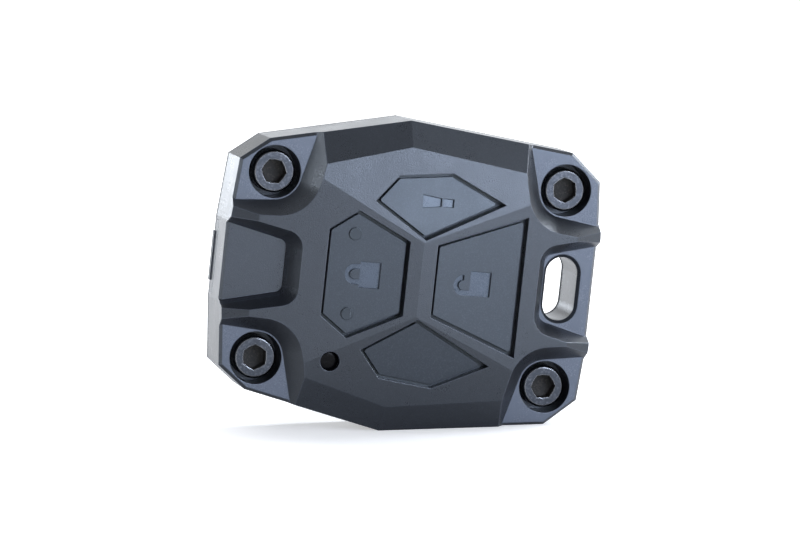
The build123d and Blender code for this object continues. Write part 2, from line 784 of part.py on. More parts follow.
panic_key_base = key_base(panic_opening, panic_place)
panic_key_base.label = "panic_key_base"
export_step(panic_key_base, "parts/panic_key_base.step")

spare_key_base = key_base(spare_opening, spare_place)
spare_key_base.label = "spare_key_base"
export_step(spare_key_base, "parts/spare_key_base.step")

# Keypad mat: a rim held between board and housing, a wall, and a web with a window for each key base
with BuildPart() as keypad_mat:
    with BuildSketch(level(board_front)):
        add(button_room.sketch)
        offset(amount=MAT_LAP, kind=Kind.INTERSECTION)
        with Locations(*screws):
            RegularPolygon(boss_r + MAT_GAP, BOSS_SIDES, major_radius=False, mode=Mode.SUBTRACT)
    extrude(amount=MAT_T)
    with BuildSketch(level(deck)):
        add(button_room.sketch)
        offset(amount=-MAT_GAP, kind=Kind.INTERSECTION)
    extrude(amount=web_top - deck)
    with BuildSketch(level(board_front)):
        add(button_room.sketch)
        offset(amount=-MAT_GAP - MAT_WALL, kind=Kind.INTERSECTION)
    extrude(amount=web_foot - board_front, mode=Mode.SUBTRACT)
    for opening in openings:
        with BuildSketch(level(web_foot)):
            Polygon(*opening, align=None)
            offset(amount=KEY_GAP - BUTTON_GAP, kind=Kind.INTERSECTION)
        extrude(amount=WEB_T, mode=Mode.SUBTRACT)
    with BuildSketch(level(board_front)):
        with Locations((WINDOW_U, WINDOW_V)):
            Circle(PIPE_STEM_D / 2 + KEY_GAP)
    extrude(amount=web_top - board_front, mode=Mode.SUBTRACT)
keypad_mat.part.label = "keypad_mat"
export_step(keypad_mat.part, "parts/keypad_mat.step")

# Circuit board, which ends before the block of the key ring slot
with BuildPart() as circuit_board:
    with BuildSketch(level(board_back)):
        add(room.sketch)
        offset(amount=-BOARD_GAP, kind=Kind.INTERSECTION)
        with Locations((slot_block_u - BOARD_GAP, 0)):
            Rectangle(RIGHT_END_U, 2 * PEAK_HALF, align=(Align.MIN, Align.CENTER), mode=Mode.SUBTRACT)
        with Locations(*screws):
            RegularPolygon(boss_r + BOARD_GAP, BOSS_SIDES, major_radius=False, mode=Mode.SUBTRACT)
    extrude(amount=BOARD_T)
circuit_board.part.label = "circuit_board"
export_step(circuit_board.part, "parts/circuit_board.step")

# Tactile switches: four bodies, each bored for its plunger
with BuildPart() as switch_bodies:
    with BuildSketch(level(board_front)):
        with Locations(*places):
            Rectangle(SWITCH_SIZE, SWITCH_SIZE)
    extrude(amount=SWITCH_H)
    with BuildSketch(level(board_front + SWITCH_FLOOR)):
        with Locations(*places):
            Circle(PLUNGER_D / 2 + PLUNGER_GAP)
    extrude(amount=SWITCH_H - SWITCH_FLOOR, mode=Mode.SUBTRACT)
switch_bodies.part.label = "switch_bodies"
export_step(switch_bodies.part, "parts/switch_bodies.step")


def plunger(place):
    """Plunger of one tactile switch."""
    with BuildPart() as pin:
        with BuildSketch(level(switch_top - PLUNGER_INSIDE)):
            with Locations(place):
                Circle(PLUNGER_D / 2)
        extrude(amount=plunger_top - switch_top + PLUNGER_INSIDE)
    return pin.part


lock_plunger = plunger(lock_place)
lock_plunger.label = "lock_plunger"
export_step(lock_plunger, "parts/lock_plunger.step")

unlock_plunger = plunger(unlock_place)
unlock_plunger.label = "unlock_plunger"
export_step(unlock_plunger, "parts/unlock_plunger.step")

panic_plunger = plunger(panic_place)
panic_plunger.label = "panic_plunger"
export_step(panic_plunger, "parts/panic_plunger.step")

spare_plunger = plunger(spare_place)
spare_plunger.label = "spare_plunger"
export_step(spare_plunger, "parts/spare_plunger.step")

# Indicator light and its light pipe
with BuildPart() as indicator_led:
    with BuildSketch(level(board_front)):
        with Locations((WINDOW_U, WINDOW_V)):
            Rectangle(LED_SIZE, LED_SIZE)
    extrude(amount=LED_H)
indicator_led.part.label = "indicator_led"
export_step(indicator_led.part, "parts/indicator_led.step")

with BuildPart() as light_pipe:
    with BuildSketch(level(board_front + LED_H + PIPE_GAP)):
        with Locations((WINDOW_U, WINDOW_V)):
            Circle(PIPE_STEM_D / 2)
    extrude(amount=ceiling - board_front - LED_H - PIPE_GAP)
    with BuildSketch(level(ceiling - PIPE_FLANGE_T)):
        with Locations((WINDOW_U, WINDOW_V)):
            Circle(WINDOW_D / 2 + PIPE_FLANGE)
    extrude(amount=PIPE_FLANGE_T)
    with BuildSketch(level(ceiling)):
        with Locations((WINDOW_U, WINDOW_V)):
            Circle(WINDOW_D / 2 - PIPE_FIT)
    extrude(amount=window_h - PIPE_RECESS - ceiling)
light_pipe.part.label = "light_pipe"
export_step(light_pipe.part, "parts/light_pipe.step")

# Coin cell, its wide can towards the cover
with BuildPart() as coin_cell:
    with BuildSketch(level(cell_foot)):
        with Locations((cell_u, 0)):
            Circle(cell_r)
    extrude(amount=CELL_H - CELL_CAP_H)
    with BuildSketch(level(cell_top - CELL_CAP_H)):
        with Locations((cell_u, 0)):
            Circle(CELL_CAP_D / 2)
    extrude(amount=CELL_CAP_H)
coin_cell.part.label = "coin_cell"
export_step(coin_cell.part, "parts/coin_cell.step")

# Cradle on the back of the board: two arms round the cell, joined by nothing but the board
with BuildPart() as battery_cradle:
    with BuildSketch(level(cell_foot + CRADLE_LIFT)):
        with Locations((cell_u, 0)):
            Circle(cradle_r)
            Circle(cell_r + CRADLE_GAP, mode=Mode.SUBTRACT)
    extrude(amount=board_back - cell_foot - CRADLE_LIFT)
    with BuildSketch(level(cell_top + CONTACT_GAP)):
        with Locations((cell_u, 0)):
            Circle(cell_r + CRADLE_GAP)
            Circle(cell_r - CRADLE_LIP, mode=Mode.SUBTRACT)
    extrude(amount=board_back - cell_top - CONTACT_GAP)
    with BuildSketch(level(cell_foot)):
        with Locations((cell_u, 0)):
            Rectangle(2 * CELL_D, CRADLE_OPEN)
    extrude(amount=board_back - cell_foot, mode=Mode.SUBTRACT)
battery_cradle.part.label = "battery_cradle"
export_step(battery_cradle.part, "parts/battery_cradle.step")

# Contacts, bent from strip: one bears on the side of the cell, the other on its face
side_u = cell_u - cell_r - CONTACT_GAP
with BuildPart() as positive_contact:
    with BuildSketch(profile):
        Polygon(
            (side_u, cell_foot + CRADLE_LIFT),
            (side_u, board_back),
            (side_u - CONTACT_FOOT, board_back),
            (side_u - CONTACT_FOOT, board_back - CONTACT_T),
            (side_u - CONTACT_T, board_back - CONTACT_T),
            (side_u - CONTACT_T, cell_foot + CRADLE_LIFT),
            align=None,
        )
    extrude(amount=CONTACT_W / 2, both=True)
positive_contact.part.label = "positive_contact"
export_step(positive_contact.part, "parts/positive_contact.step")

with BuildPart() as negative_contact:
    with BuildSketch(profile):
        Polygon(
            (cell_u - 2 * CONTACT_LEAF, board_back),
            (cell_u - CONTACT_LEAF, board_back),
            (cell_u, cell_top + CONTACT_T),
            (cell_u + CONTACT_LEAF, cell_top + CONTACT_T),
            (cell_u + CONTACT_LEAF, cell_top),
            (cell_u, cell_top),
            (cell_u - CONTACT_LEAF, board_back - CONTACT_T),
            (cell_u - 2 * CONTACT_LEAF, board_back - CONTACT_T),
            align=None,
        )
    extrude(amount=CONTACT_W / 2, both=True)
negative_contact.part.label = "negative_contact"
export_step(negative_contact.part, "parts/negative_contact.step")

# Chips, crystal and small parts on the front of the board
with BuildPart() as radio_chip:
    with BuildSketch(level(board_front)):
        with Locations((CHIP_U, 0)):
            Rectangle(RADIO_SIZE, RADIO_SIZE)
    extrude(amount=CHIP_H)
radio_chip.part.label = "radio_chip"
export_step(radio_chip.part, "parts/radio_chip.step")

with BuildPart() as receiver_chip:
    with BuildSketch(level(board_front)):
        with Locations((CHIP_U, -CHIP_V)):
            Rectangle(RECEIVER_SIZE, RECEIVER_SIZE)
    extrude(amount=CHIP_H)
receiver_chip.part.label = "receiver_chip"
export_step(receiver_chip.part, "parts/receiver_chip.step")

with BuildPart() as crystal:
    with BuildSketch(level(board_front)):
        with Locations((CHIP_U, CHIP_V)):
            Rectangle(CRYSTAL_L, CRYSTAL_W)
    extrude(amount=CRYSTAL_H)
crystal.part.label = "crystal"
export_step(crystal.part, "parts/crystal.step")

with BuildPart() as passive_parts:
    with BuildSketch(level(board_front)):
        with Locations((CHIP_U, 0)):
            with GridLocations(2 * RADIO_SIZE - PASSIVE_L, PASSIVE_PITCH, 2, 3):
                Rectangle(PASSIVE_L, PASSIVE_W)
    extrude(amount=PASSIVE_H)
passive_parts.part.label = "passive_parts"
export_step(passive_parts.part, "parts/passive_parts.step")

# Low frequency antenna: ferrite core with two flanges, and its winding
with BuildPart() as antenna_core:
    with BuildSketch(level(board_back)):
        with Locations((antenna_u, 0)):
            Rectangle(ANTENNA_CORE, ANTENNA_CORE)
    extrude(amount=-ANTENNA_H)
    for foot in (board_back - ANTENNA_FLANGE, board_back - ANTENNA_H):
        with BuildSketch(level(foot)):
            with Locations((antenna_u, 0)):
                Rectangle(ANTENNA_SIZE, ANTENNA_SIZE)
        extrude(amount=ANTENNA_FLANGE)
antenna_core.part.label = "antenna_core"
export_step(antenna_core.part, "parts/antenna_core.step")

with BuildPart() as antenna_winding:
    with BuildSketch(level(board_back - ANTENNA_H + ANTENNA_FLANGE + WINDING_GAP)):
        with Locations((antenna_u, 0)):
            RectangleRounded(WINDING_SIZE, WINDING_SIZE, WINDING_R)
            Rectangle(ANTENNA_CORE + 2 * WINDING_GAP, ANTENNA_CORE + 2 * WINDING_GAP, mode=Mode.SUBTRACT)
    extrude(amount=ANTENNA_H - 2 * ANTENNA_FLANGE - 2 * WINDING_GAP)
antenna_winding.part.label = "antenna_winding"
export_step(antenna_winding.part, "parts/antenna_winding.step")
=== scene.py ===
import bpy
import json
from math import cos, pi, radians, sin, sqrt
from mathutils import Matrix, Vector


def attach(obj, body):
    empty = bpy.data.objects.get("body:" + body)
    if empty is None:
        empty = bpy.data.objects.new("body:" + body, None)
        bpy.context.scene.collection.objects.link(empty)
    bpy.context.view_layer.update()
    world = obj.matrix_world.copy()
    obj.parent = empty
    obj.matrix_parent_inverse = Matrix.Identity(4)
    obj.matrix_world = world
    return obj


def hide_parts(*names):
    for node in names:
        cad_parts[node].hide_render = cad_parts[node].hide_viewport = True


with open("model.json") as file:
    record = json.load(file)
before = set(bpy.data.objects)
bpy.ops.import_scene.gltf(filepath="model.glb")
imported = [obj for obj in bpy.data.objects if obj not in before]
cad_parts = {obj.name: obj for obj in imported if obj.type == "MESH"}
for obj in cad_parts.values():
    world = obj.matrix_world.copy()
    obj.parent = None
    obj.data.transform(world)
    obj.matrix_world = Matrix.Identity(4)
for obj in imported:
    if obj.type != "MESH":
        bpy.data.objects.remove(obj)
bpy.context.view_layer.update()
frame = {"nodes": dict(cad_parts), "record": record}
bpy.ops.object.select_all(action="DESELECT")

# Camera: a long lens that looks down a little on the buttons, from the side of the notched end. Its turn,
# rise, roll and place were fitted to the outline of the fob.
CAMERA_TURN = radians(13.86)
CAMERA_RISE = radians(6.63)
CAMERA_ROLL = radians(0.31)
CAMERA_DISTANCE = 0.7
CAMERA_TARGET = Vector((-0.00119, 0, 0.02609))
CAMERA_LENS = 195.03
CAMERA_NEAREST = 0.01

ahead = Vector(
    (sin(CAMERA_TURN) * cos(CAMERA_RISE), cos(CAMERA_TURN) * cos(CAMERA_RISE), -sin(CAMERA_RISE))
)
level_right = Vector((cos(CAMERA_TURN), -sin(CAMERA_TURN), 0))
level_up = level_right.cross(ahead)
camera_right = level_right * cos(CAMERA_ROLL) + level_up * sin(CAMERA_ROLL)
camera_up = level_up * cos(CAMERA_ROLL) - level_right * sin(CAMERA_ROLL)
camera_axes = Matrix((camera_right, camera_up, -ahead)).transposed().to_4x4()
bpy.ops.object.camera_add()
camera = bpy.context.object
camera.name = "camera"
camera.matrix_world = Matrix.Translation(CAMERA_TARGET - ahead * CAMERA_DISTANCE) @ camera_axes
camera.data.lens = CAMERA_LENS
camera.data.clip_start = CAMERA_NEAREST
camera.data.dof.use_dof = False
bpy.context.scene.camera = camera
bpy.context.scene.view_settings.view_transform = "Standard"

# Table: white paper that runs into the white room behind it. Where it is seen, straight or mirrored, it
# glows as the room does. Close to the fob it glows less, which keeps the shadow and stops the walls from
# mirroring a white floor at their feet.
TABLE_RADIUS = 3.0
TABLE_SIDES = 96
TABLE_COLOUR = (0.86, 0.86, 0.87, 1)
# Distances from the fob's foot between which the glow rises to full, and its share before that: for all rays,
# and once more for mirrored ones
SHADE_FROM = 0.018
SHADE_TO = 0.048
SHADE_GLOW = 0.40
MIRRORED_FROM = 0.03
MIRRORED_TO = 0.13
MIRRORED_GLOW = 0.30


def node(tree, kind, inputs=None, **settings):
    """Adds a shader node. An input is a plain value, or the socket that feeds it."""
    added = tree.nodes.new(kind)
    for name, value in settings.items():
        setattr(added, name, value)
    for name, value in (inputs or {}).items():
        if isinstance(value, bpy.types.NodeSocket):
            tree.links.new(value, added.inputs[name])
        else:
            added.inputs[name].default_value = value
    return added


def maths(tree, operation, *values):
    """Result of a Math node."""
    return node(tree, "ShaderNodeMath", dict(enumerate(values)), operation=operation).outputs[0]


def vector_maths(tree, operation, *values):
    """Vector Math node, of which some operations give a vector and some a number."""
    return node(tree, "ShaderNodeVectorMath", dict(enumerate(values)), operation=operation)


def ramp(tree, value, start, end, low=0.0, high=1.0, **settings):
    """Goes from low to high while a value goes from start to end."""
    limits = {"Value": value, "From Min": start, "From Max": end, "To Min": low, "To Max": high}
    return node(tree, "ShaderNodeMapRange", limits, **settings).outputs[0]


def own_place(tree):
    """Place on the object itself, in metres."""
    return node(tree, "ShaderNodeTexCoord").outputs["Object"]


def camera_ray(tree):
    """Mask of the rays that come straight from the camera."""
    return node(tree, "ShaderNodeLightPath").outputs["Is Camera Ray"]


def seen_ray(tree):
    """Mask of the rays that come from the camera, straight or by way of gloss or glass."""
    path = node(tree, "ShaderNodeLightPath").outputs
    mirrored = maths(tree, "MAXIMUM", path["Is Camera Ray"], path["Is Glossy Ray"])
    return maths(tree, "MAXIMUM", mirrored, path["Is Transmission Ray"])


bpy.ops.mesh.primitive_circle_add(vertices=TABLE_SIDES, radius=TABLE_RADIUS, fill_type="NGON")
table = bpy.context.object
table.name = "table"
table_paper = bpy.data.materials.new("table_paper")
table_paper.use_nodes = True
tree = table_paper.node_tree
tree.nodes.clear()
from_fob = vector_maths(tree, "LENGTH", own_place(tree)).outputs["Value"]
clear_of_shadow = ramp(tree, from_fob, SHADE_FROM, SHADE_TO, SHADE_GLOW, interpolation_type="SMOOTHSTEP")
far_table = ramp(tree, from_fob, MIRRORED_FROM, MIRRORED_TO, MIRRORED_GLOW)
seen = maths(tree, "MAXIMUM", maths(tree, "MULTIPLY", seen_ray(tree), far_table), camera_ray(tree))
paper = node(tree, "ShaderNodeBsdfDiffuse", {"Color": TABLE_COLOUR})
glow = node(tree, "ShaderNodeEmission", {"Strength": maths(tree, "MULTIPLY", clear_of_shadow, seen)})
lit_paper = node(tree, "ShaderNodeAddShader", {0: paper.outputs[0], 1: glow.outputs[0]})
node(tree, "ShaderNodeOutputMaterial", {"Surface": lit_paper.outputs[0]})
table.data.materials.append(table_paper)

# Room: white walls all round, which the camera sees at full strength. The fob mirrors them, the rear ones
# brighter than the front ones, and they light it only faintly.
ROOM_COLOUR = (0.96, 0.98, 1.0, 1)
ROOM_REAR = 1.0
ROOM_FRONT = 0.60
ROOM_FILL = 0.17
ROOM_CHANGE = 0.25

room = bpy.data.worlds.new("room")
bpy.context.scene.world = room
room.use_nodes = True
tree = room.node_tree
direction = node(tree, "ShaderNodeTexCoord").outputs["Generated"]
rearward = node(tree, "ShaderNodeSeparateXYZ", {0: direction}).outputs["Y"]
mirrored_room = ramp(
    tree, rearward, -ROOM_CHANGE, ROOM_CHANGE, ROOM_FRONT, ROOM_REAR, interpolation_type="SMOOTHSTEP"
)
room_light = maths(
    tree, "MAXIMUM", ramp(tree, seen_ray(tree), 0.0, 1.0, ROOM_FILL, mirrored_room), camera_ray(tree)
)
background = tree.nodes["Background"]
background.inputs["Color"].default_value = ROOM_COLOUR
tree.links.new(room_light, background.inputs["Strength"])

# Lamps: eight soft boxes of one size, which stand round the fob and face its middle. Those in front light the
# buttons. Those at the sides and behind light the end walls and put a sheen on the edges.
LAMP_DISTANCE = 0.55
LAMP_WIDTH = 0.20
LAMP_HEIGHT = 0.18
LAMP_LOWEST = 0.02
FOB_MIDDLE = Vector((0, 0, 0.025))
DAYLIGHT = (0.86, 0.94, 1.12)
SOFT_WHITE = (0.93, 0.98, 1.05)


def softbox(name, turn, rise, power, colour):
    """A lamp of some watts, at a turn from the front towards +X and at a rise, both in degrees."""
    level = cos(radians(rise))
    towards = Vector((sin(radians(turn)) * level, -cos(radians(turn)) * level, sin(radians(rise))))
    place = FOB_MIDDLE + towards * LAMP_DISTANCE
    place.z = max(place.z, LAMP_LOWEST)
    bpy.ops.object.light_add(type="AREA", location=place)
    lamp = bpy.context.object
    lamp.name = name
    lamp.rotation_euler = (FOB_MIDDLE - place).to_track_quat("-Z", "Y").to_euler()
    lamp.visible_camera = False
    lamp.data.shape = "RECTANGLE"
    lamp.data.size = LAMP_WIDTH
    lamp.data.size_y = LAMP_HEIGHT
    lamp.data.energy = power
    lamp.data.color = colour


softbox("front_box", 23, 11, 1.60, DAYLIGHT)
softbox("low_card", -2, -4, 0.10, DAYLIGHT)
softbox("left_box", -95, 10, 1.10, SOFT_WHITE)
softbox("right_box", 95, 10, 1.60, SOFT_WHITE)
softbox("high_box", 106, 36, 2.00, SOFT_WHITE)
softbox("rear_box", -152, 10, 1.00, SOFT_WHITE)
softbox("top_box", 168, 10, 0.10, SOFT_WHITE)
softbox("rim_box", 34, 28, 0.38, SOFT_WHITE)

# Front housing: a deep shell, injection moulded in black nylon with glass fibre. The steel mould is spark
# eroded to a fine grain, but polished at the screw pads and the slot pad, which are smoother and carry a
# painted sheen. The walls show fine lines from being drawn out of it. The edges are rubbed smoother by the
# pocket, and painted paler as a highlight.
HOUSING_BLACK = (0.0130, 0.0145, 0.0188)
HOUSING_FLECK = (0.019, 0.021, 0.027)
# Paler colour painted on the edges of housing and cover, as a painted highlight
HOUSING_EDGE_HIGHLIGHT = (0.088, 0.098, 0.124)
# Paler colour painted on the pads, as the sheen that their polish catches
PAD_PAINTED_SHEEN = (0.096, 0.111, 0.146)
NYLON_TINT = (0.815, 0.90, 1.0, 1)
NYLON_GLOSS = 0.58
NYLON_EDGE_MM = 0.20
SCREW_PAD_Y = -0.0030006
SLOT_PAD_Y = -0.0025006
PAD_BAND = 0.00003
# Added to the roughness of the pads and of rubbed edges
PAD_ROUGHER = -0.04
RUBBED_ROUGHER = -0.12
# How far the rounded normal agrees with the flat one where an edge starts to be rubbed smoother and painted
# paler as a highlight, and where it is fully
RUBBED_AND_HIGHLIGHT_FROM = 0.995
RUBBED_AND_HIGHLIGHT_TO = 0.93
EDGE_SAMPLES = 6
CLOUD_SCALE = 240.0
FLECK_FROM = 0.55
FLECK_TO = 0.92
LINE_SCALE = 2600.0
LINE_SQUEEZE = (1.0, 0.05, 1.0)
# How far a face looks to the front where the drawn lines start, and where they are full
WALL_FROM = 0.75
WALL_TO = 0.45


def new_group(name, values, results):
    """An empty node group: values gives its number inputs and results its outputs with their kinds."""
    tree = bpy.data.node_groups.new(name, "ShaderNodeTree")
    for label, value in values.items():
        tree.interface.new_socket(label, in_out="INPUT", socket_type="NodeSocketFloat").default_value = value
    for label, kind in results.items():
        tree.interface.new_socket(label, in_out="OUTPUT", socket_type=kind)
    return tree, node(tree, "NodeGroupInput").outputs, node(tree, "NodeGroupOutput").inputs


# Grain: its height, a roughness that varies with it, and the flecks of glass fibre that lie at the surface.
# Drawn gives how far its height turns into fine lines on the walls.
grain, given, result = new_group(
    "grain",
    {"Size mm": 0.2, "Roughness": 0.4, "Spread": 0.12, "Drawn": 0.0},
    {"Height": "NodeSocketFloat", "Roughness": "NodeSocketFloat", "Fleck": "NodeSocketFloat"},
)
spot = own_place(grain)
pitch = maths(grain, "DIVIDE", 1000, given["Size mm"])
pits = node(grain, "ShaderNodeTexNoise", {"Vector": spot, "Scale": pitch, "Detail": 2.0, "Roughness": 0.6})
clouds = node(grain, "ShaderNodeTexNoise", {"Vector": spot, "Scale": CLOUD_SCALE, "Detail": 3.0})
cells = node(grain, "ShaderNodeTexVoronoi", {"Vector": spot, "Scale": pitch})
uneven = maths(grain, "SUBTRACT", maths(grain, "ADD", pits.outputs["Fac"], clouds.outputs["Fac"]), 1.0)
squeezed = vector_maths(grain, "MULTIPLY", spot, LINE_SQUEEZE).outputs[0]
lines = node(grain, "ShaderNodeTexNoise", {"Vector": squeezed, "Scale": LINE_SCALE, "Detail": 1.0})
true_normal = node(grain, "ShaderNodeNewGeometry").outputs["True Normal"]
facing = node(grain, "ShaderNodeSeparateXYZ", {0: true_normal}).outputs["Y"]
frontward = maths(grain, "ABSOLUTE", facing)
on_wall = ramp(grain, frontward, WALL_FROM, WALL_TO, high=given["Drawn"])
height = node(
    grain,
    "ShaderNodeMix",
    {0: on_wall, 2: pits.outputs["Fac"], 3: lines.outputs["Fac"]},
    data_type="FLOAT",
)
varied = maths(grain, "MULTIPLY_ADD", uneven, given["Spread"], given["Roughness"])
grain.links.new(height.outputs[0], result["Height"])
grain.links.new(varied, result["Roughness"])
grain.links.new(ramp(grain, cells.outputs["Color"], FLECK_FROM, FLECK_TO), result["Fleck"])

# Edges: a normal that is rounded at the edges, and a mask of them
edges, given, result = new_group(
    "edges", {"Radius mm": 0.15}, {"Edge": "NodeSocketFloat", "Normal": "NodeSocketVector"}
)
radius = maths(edges, "MULTIPLY", given["Radius mm"], 0.001)
rounded = node(edges, "ShaderNodeBevel", {"Radius": radius}, samples=EDGE_SAMPLES).outputs["Normal"]
unrounded = node(edges, "ShaderNodeNewGeometry").outputs["Normal"]
agreement = vector_maths(edges, "DOT_PRODUCT", rounded, unrounded).outputs["Value"]
edges.links.new(ramp(edges, agreement, RUBBED_AND_HIGHLIGHT_FROM, RUBBED_AND_HIGHLIGHT_TO), result["Edge"])
edges.links.new(rounded, result["Normal"])


def blend(tree, amount, first, second):
    """Colour between two others. Each is a plain colour, or the socket that feeds it."""
    mix = node(tree, "ShaderNodeMix", {0: amount}, data_type="RGBA")
    for place, colour in ((6, first), (7, second)):
        if isinstance(colour, bpy.types.NodeSocket):
            tree.links.new(colour, mix.inputs[place])
        else:
            mix.inputs[place].default_value = (*colour, 1)
    return mix.outputs[2]


def surface(
    name, plain, flecked, edge_wear_and_sheen, roughness, grain_mm, depth_mm, edge_mm, relief=None, drawn=0.0, **constants
):
    """A finish: its plain, flecked and edge colours, its roughness, and its grain and edges in mm.

    A relief is a function that takes the tree and the sockets of colour and roughness, and gives these back
    changed in some places. The constants are set on the shader's own sockets."""
    material = bpy.data.materials.new(name)
    material.use_nodes = True
    tree = material.node_tree
    shader = tree.nodes["Principled BSDF"]
    for label, value in constants.items():
        shader.inputs[label.replace("_", " ")].default_value = value
    skin = node(tree, "ShaderNodeGroup", None, node_tree=grain)
    for label, value in (("Size mm", grain_mm), ("Roughness", roughness), ("Drawn", drawn)):
        skin.inputs[label].default_value = value
    rim = node(tree, "ShaderNodeGroup", None, node_tree=edges)
    rim.inputs["Radius mm"].default_value = edge_mm
    colour = blend(tree, skin.outputs["Fleck"], plain, flecked)
    # Edges take the edge colour: a painted highlight on the housing, cover, buttons and screws, and the
    # parts' own edge colour elsewhere
    colour = blend(tree, rim.outputs["Edge"], colour, edge_wear_and_sheen)
    rough = maths(tree, "MULTIPLY_ADD", rim.outputs["Edge"], RUBBED_ROUGHER, skin.outputs["Roughness"])
    if relief:
        colour, rough = relief(tree, colour, rough)
    bump = node(
        tree,
        "ShaderNodeBump",
        {"Height": skin.outputs["Height"], "Distance": depth_mm / 1000, "Normal": rim.outputs["Normal"]},
    )
    tree.links.new(colour, shader.inputs["Base Color"])
    tree.links.new(rough, shader.inputs["Roughness"])
    tree.links.new(bump.outputs[0], shader.inputs["Normal"])
    return material


def dress(material, *names):
    """Gives CAD nodes a material."""
    for name in names:
        slots = frame["nodes"][name].data.materials
        slots.clear()
        slots.append(material)


def own_depth(tree):
    """Place on the object from front to back, in metres."""
    return node(tree, "ShaderNodeSeparateXYZ", {0: own_place(tree)}).outputs["Y"]


def pads_polished_with_painted_sheen(tree, colour, rough):
    """The pads round the screws and the slot, which are found by their depth. They are made smoother, and
    painted paler as a painted sheen.
    """
    depth = own_depth(tree)
    screw_pads, slot_pad = (maths(tree, "COMPARE", depth, y, PAD_BAND) for y in (SCREW_PAD_Y, SLOT_PAD_Y))
    pads = maths(tree, "MAXIMUM", screw_pads, slot_pad)
    return blend(tree, pads, colour, PAD_PAINTED_SHEEN), maths(tree, "MULTIPLY_ADD", pads, PAD_ROUGHER, rough)


housing_nylon = surface(
    "housing_nylon",
    plain=HOUSING_BLACK,
    flecked=HOUSING_FLECK,
    edge_wear_and_sheen=HOUSING_EDGE_HIGHLIGHT,
    roughness=0.30,
    grain_mm=0.17,
    depth_mm=0.024,
    edge_mm=NYLON_EDGE_MM,
    relief=pads_polished_with_painted_sheen,
    drawn=0.8,
    Specular_Tint=NYLON_TINT,
    Specular_IOR_Level=NYLON_GLOSS,
)
dress(housing_nylon, "front_housing")

# Back cover: a plate of the same black nylon, moulded with the tongue that the left end wall takes. The four
# screws pull it against the housing. The plate is matt, and the tongue nearly as smooth as the housing.
PLATE_EDGE = 0.0009
PLATE_BLACK = (0.006, 0.007, 0.009)
PLATE_ROUGHER = 0.5

mounts = {mount["name"]: mount for mount in frame["record"]["mounts"]}
back_centre = Vector(mounts["back_face"]["pos_m"])


def matt_plate(tree, colour, rough):
    """The plate itself, which is found by its depth."""
    plate = maths(tree, "GREATER_THAN", own_depth(tree), back_centre.y - PLATE_EDGE)
    return blend(tree, plate, colour, PLATE_BLACK), maths(tree, "MULTIPLY_ADD", plate, PLATE_ROUGHER, rough)


cover_nylon = surface(
    "cover_nylon",
    plain=HOUSING_BLACK,
    flecked=HOUSING_FLECK,
    edge_wear_and_sheen=HOUSING_EDGE_HIGHLIGHT,
    roughness=0.36,
    grain_mm=0.25,
    depth_mm=0.012,
    edge_mm=NYLON_EDGE_MM,
    relief=matt_plate,
    Specular_Tint=NYLON_TINT,
    Specular_IOR_Level=NYLON_GLOSS,
)
dress(cover_nylon, "back_cover")

# Buttons: four moulded caps of a finer, bluer plastic. Three have a sunk mark with a polished floor, and the
# lock button has two raised dots to be found by touch. The walls of marks and dots are painted dark as
# painted shade. The solids carry these marks the other way up, so each marked cap is a copy of its solid with
# its marks pushed in or out.
BUTTON_BLACK = (0.0150, 0.0172, 0.0235)
BUTTON_FLECK = (0.026, 0.030, 0.040)
# Paler colour painted on the edges of the caps, as a painted highlight
BUTTON_EDGE_HIGHLIGHT = (0.045, 0.053, 0.068)
BUTTON_TINT = (0.785, 0.895, 1.0, 1)
DOT_TOP = (0.007, 0.009, 0.013)
# Dark colour painted on the walls of the sunk marks and raised dots, as painted shade
ICON_WALL_SHADE = (0.006, 0.007, 0.010)
ICON_FLOOR = (0.058, 0.073, 0.102)
FLOOR_ROUGHER = -0.05
SOLID_ICON_RISE = 0.0002
SOLID_DOT_DEPTH = 0.00015
ICON_DEPTH = 0.00045
DOT_RISE = 0.00030
FACE_RECESS = 0.00085
HAIR = 0.00002
MERGE = 0.000001
# Upper end of the ridge of the housing's front: along the fob, across it, and out from its back face
RIDGE = (0.0001, 0.006, 0.0145989)
# Lean of the fob as it stands on its lower right edge
LEAN = radians(5.966)
# In tenths of a millimetre from the face: where the wall of a sunk mark and of a raised one starts and ends,
# and how near to its own height a floor or a top is found
TENTHS = 10000
SUNK_WALL = (-0.3, -0.7)
RAISED_WALL = (0.3, 0.6)
LEVEL = 0.1

along = Vector((cos(LEAN), 0, -sin(LEAN)))
across = Vector((sin(LEAN), 0, cos(LEAN)))
outward = Vector((0, -1, 0))

# Height above a button's face, in tenths of a millimetre
relief_group, given, result = new_group(
    "relief", {"X": 0.0, "Y": -1.0, "Z": 0.0, "Face": 0.0}, {"Height": "NodeSocketFloat"}
)
square_to_face = node(relief_group, "ShaderNodeCombineXYZ", {name: given[name] for name in "XYZ"}).outputs[0]
reach = vector_maths(relief_group, "DOT_PRODUCT", own_place(relief_group), square_to_face).outputs["Value"]
above_face = maths(relief_group, "SUBTRACT", reach, given["Face"])
relief_group.links.new(maths(relief_group, "MULTIPLY", above_face, TENTHS), result["Height"])


